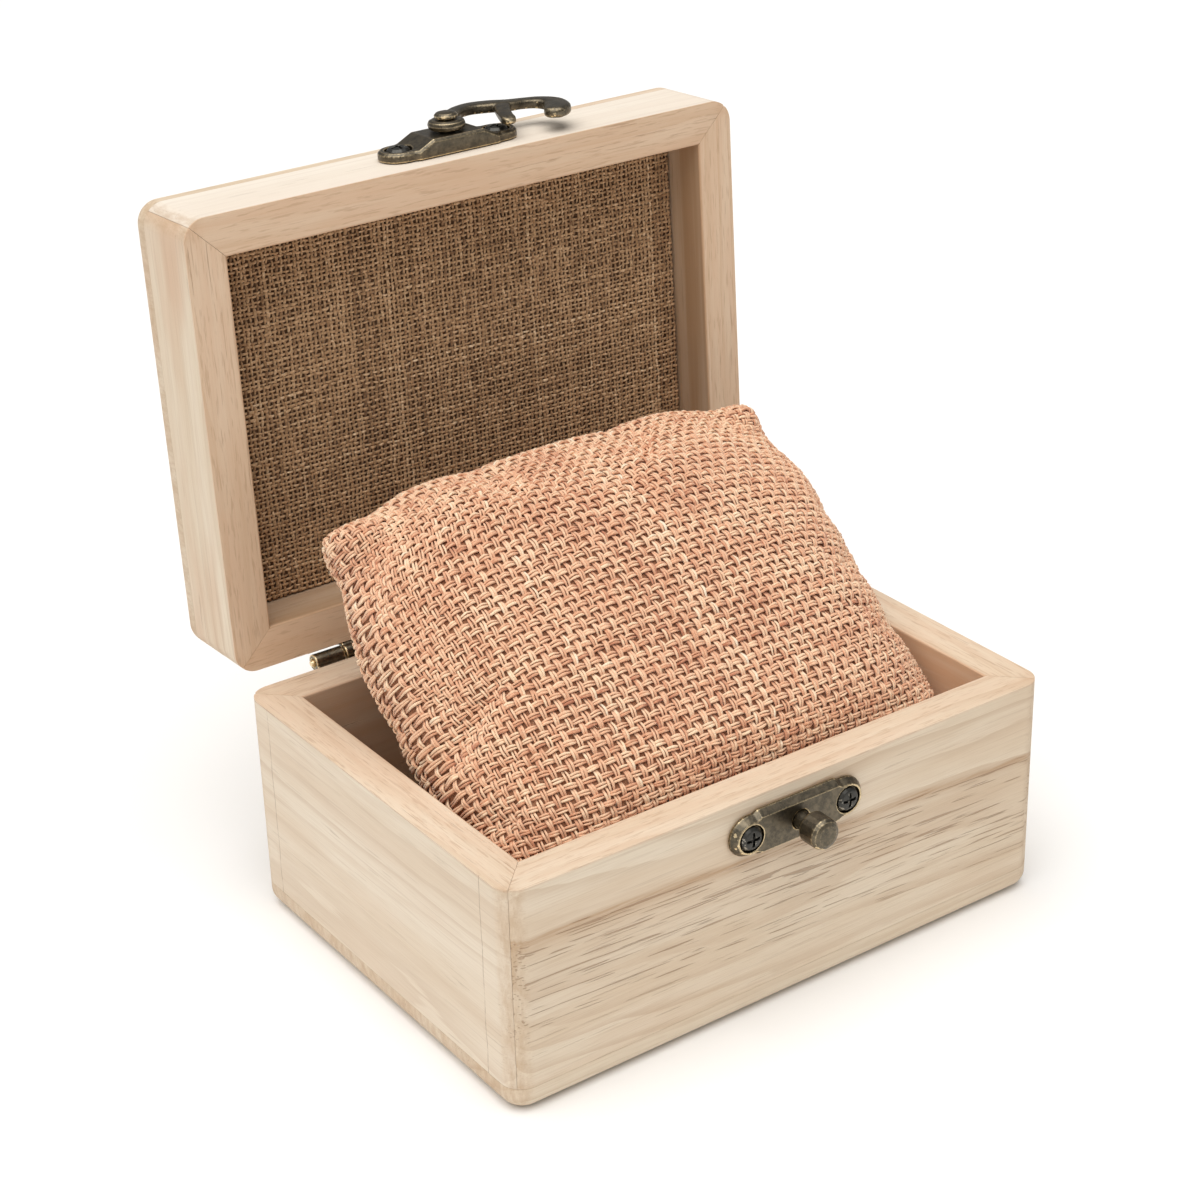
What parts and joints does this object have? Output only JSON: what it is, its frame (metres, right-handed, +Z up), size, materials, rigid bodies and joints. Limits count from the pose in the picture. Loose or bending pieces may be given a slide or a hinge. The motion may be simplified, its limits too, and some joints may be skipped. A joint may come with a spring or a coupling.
{
  "type": "watch box",
  "caption": "Small hinged wooden box for a watch or bracelet, with a lined lid, a swing-hook latch and a loose burlap cushion leaning inside; the lid stands open.",
  "frame": {"origin": "centre of the face the box rests on, under the middle of the base", "axes": "+Z up, -Y out of the front wall with the catch, +X to the right seen from the front"},
  "size_m": [0.11, 0.114, 0.1292],
  "materials": {
    "pale_wood": "bare pale softwood with fine grain, sanded, unvarnished",
    "antique_brass": "antiqued, dark with brassy worn edges",
    "dark_screw": "blackened, cross recess",
    "brown_burlap": "fine plain-weave burlap",
    "lining_pad": "pale padded card",
    "peach_burlap": "coarse open burlap weave",
    "white_filling": "fibre filling"
  },
  "bodies": {
    "base": {"base_bottom_panel": "pale_wood", "base_front_wall": "pale_wood", "base_right_wall": "pale_wood", "base_back_wall": "pale_wood", "base_left_wall": "pale_wood", "catch_plate": "antique_brass", "catch_post": "antique_brass", "catch_screw_left": "dark_screw", "catch_screw_right": "dark_screw", "hinge_left_lower_leaf": "antique_brass", "hinge_left_pin": "antique_brass", "hinge_left_lower_screw_1": "dark_screw", "hinge_left_lower_screw_2": "dark_screw", "hinge_right_lower_leaf": "antique_brass", "hinge_right_pin": "antique_brass", "hinge_right_lower_screw_1": "dark_screw", "hinge_right_lower_screw_2": "dark_screw", "cushion_cover": "peach_burlap", "cushion_filling": "white_filling"},
    "lid": {"lid_top_panel": "pale_wood", "lid_front_wall": "pale_wood", "lid_right_wall": "pale_wood", "lid_back_wall": "pale_wood", "lid_left_wall": "pale_wood", "lid_lining_cloth": "brown_burlap", "lid_lining_pad": "lining_pad", "hook_plate": "antique_brass", "hook_rivet": "antique_brass", "hook_plate_screw_left": "dark_screw", "hook_plate_screw_right": "dark_screw", "hinge_left_upper_leaf": "antique_brass", "hinge_left_upper_screw_1": "dark_screw", "hinge_left_upper_screw_2": "dark_screw", "hinge_right_upper_leaf": "antique_brass", "hinge_right_upper_screw_1": "dark_screw", "hinge_right_upper_screw_2": "dark_screw"},
    "hook": {"latch_hook": "antique_brass"}
  },
  "joints": [
    {"name": "lid_hinge", "type": "hinge", "parent": "base", "child": "lid", "pos_m": [0, 0.042, 0.04115], "axis": [1, 0, 0], "range_deg": [0, 93], "deforming": ["cushion_cover", "cushion_filling"]},
    {"name": "hook_pivot", "type": "hinge", "parent": "lid", "child": "hook", "pos_m": [0, 0.05414, 0.12283], "axis": [0, 0.0523, 0.9986], "range_deg": [-88.4, 90]}
  ]
}
